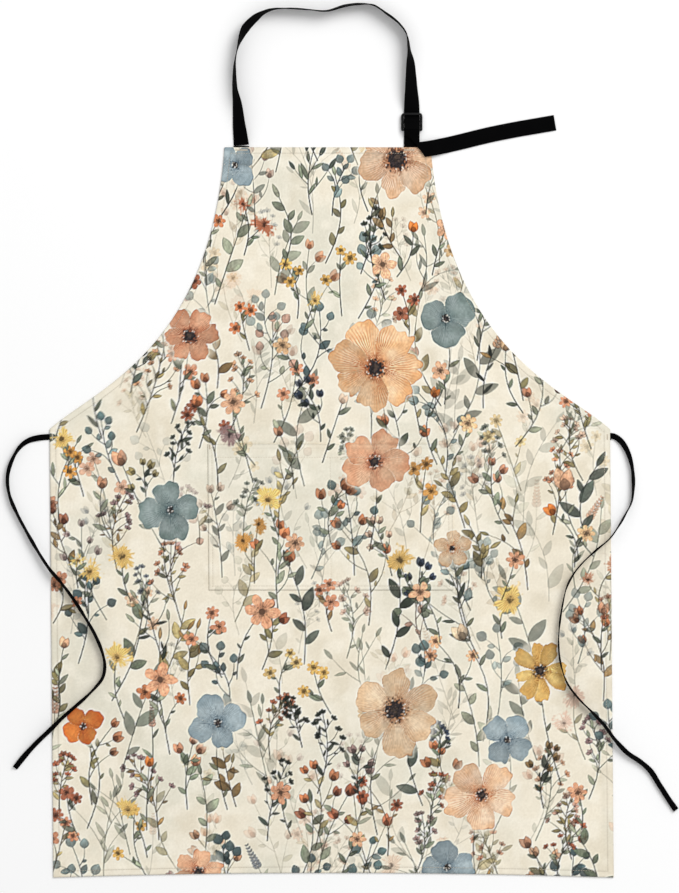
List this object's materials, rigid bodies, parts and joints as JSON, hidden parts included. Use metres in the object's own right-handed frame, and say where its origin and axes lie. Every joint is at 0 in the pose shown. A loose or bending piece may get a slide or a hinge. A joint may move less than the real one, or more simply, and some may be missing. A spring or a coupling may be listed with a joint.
{
  "type": "bib apron",
  "caption": "Full-length bib apron laid flat, with a divided front pocket, waist ties and a webbing neck strap that adjusts in a slider buckle.",
  "frame": {"origin": "middle of the cloth's outline, measured without the straps and ties, on the surface the apron lies on", "axes": "+X to the right of the laid apron seen from its printed face, +Y up the bib towards the neck strap, +Z out of the printed face"},
  "size_m": [0.7927, 1.0303, 0.0186],
  "materials": {
    "printed_cloth": "smooth plain-weave polyester-linen cloth with a watercolour wildflower print on a warm cream ground, matt with a faint sheen",
    "cloth_reverse": "unprinted reverse of the same cloth, cream with the print showing through faintly, folded and pressed",
    "sewing_thread": "cream polyester sewing thread, slightly shiny",
    "webbing": "black woven webbing with a fine cross rib, matt",
    "tie_tape": "narrow black twill tape, matt",
    "buckle_plastic": "black moulded plastic, satin, with rounded edges"
  },
  "bodies": {
    "apron": {"front_panel": "printed_cloth", "pocket_panel": "printed_cloth", "bib_top_hem": "cloth_reverse", "left_armhole_hem": "cloth_reverse", "right_armhole_hem": "cloth_reverse", "left_side_hem": "cloth_reverse", "right_side_hem": "cloth_reverse", "bottom_hem": "cloth_reverse", "pocket_mouth_hem": "cloth_reverse", "pocket_turned_edge": "cloth_reverse", "bib_top_stitching": "sewing_thread", "left_armhole_stitching": "sewing_thread", "right_armhole_stitching": "sewing_thread", "left_side_stitching": "sewing_thread", "right_side_stitching": "sewing_thread", "bottom_stitching": "sewing_thread", "pocket_mouth_stitching": "sewing_thread", "pocket_rim_stitching": "sewing_thread", "pocket_divider_stitching": "sewing_thread", "left_pocket_bar_tack": "sewing_thread", "right_pocket_bar_tack": "sewing_thread", "neck_strap_bar_tack": "sewing_thread", "buckle_loop_bar_tack": "sewing_thread", "left_tie_bar_tack": "sewing_thread", "right_tie_bar_tack": "sewing_thread", "neck_strap_sewn_end": "webbing", "buckle_loop_sewn_end": "webbing", "left_tie_sewn_end": "tie_tape", "right_tie_sewn_end": "tie_tape"},
    "neck_loop": {"neck_strap": "webbing", "buckle_loop": "webbing", "strap_lead": "webbing"},
    "buckle": {"buckle": "buckle_plastic", "strap_in_buckle": "webbing"},
    "strap_tail": {"strap_tail": "webbing"},
    "left_tie": {"left_tie": "tie_tape"},
    "right_tie": {"right_tie": "tie_tape"}
  },
  "joints": [
    {"name": "neck_loop_fold", "type": "hinge", "parent": "apron", "child": "neck_loop", "pos_m": [0, 0.4319, 0.0042], "axis": [1, 0, 0], "range_deg": [0, 115]},
    {"name": "buckle_tilt", "type": "hinge", "parent": "neck_loop", "child": "buckle", "pos_m": [0.0943, 0.4506, 0.0029], "axis": [1, 0, 0], "range_deg": [0, 25]},
    {"name": "strap_tail_lift", "type": "hinge", "parent": "apron", "child": "strap_tail", "pos_m": [0.105, 0.427, 0.0048], "axis": [0.12, -0.9928, 0], "range_deg": [0, 75]},
    {"name": "left_tie_lift", "type": "hinge", "parent": "apron", "child": "left_tie", "pos_m": [-0.334, 0.0926, 0.0007], "axis": [-1, 0, 0], "range_deg": [0, 100]},
    {"name": "right_tie_lift", "type": "hinge", "parent": "apron", "child": "right_tie", "pos_m": [0.3326, 0.0926, 0.0007], "axis": [-1, 0, 0], "range_deg": [0, 100]}
  ]
}
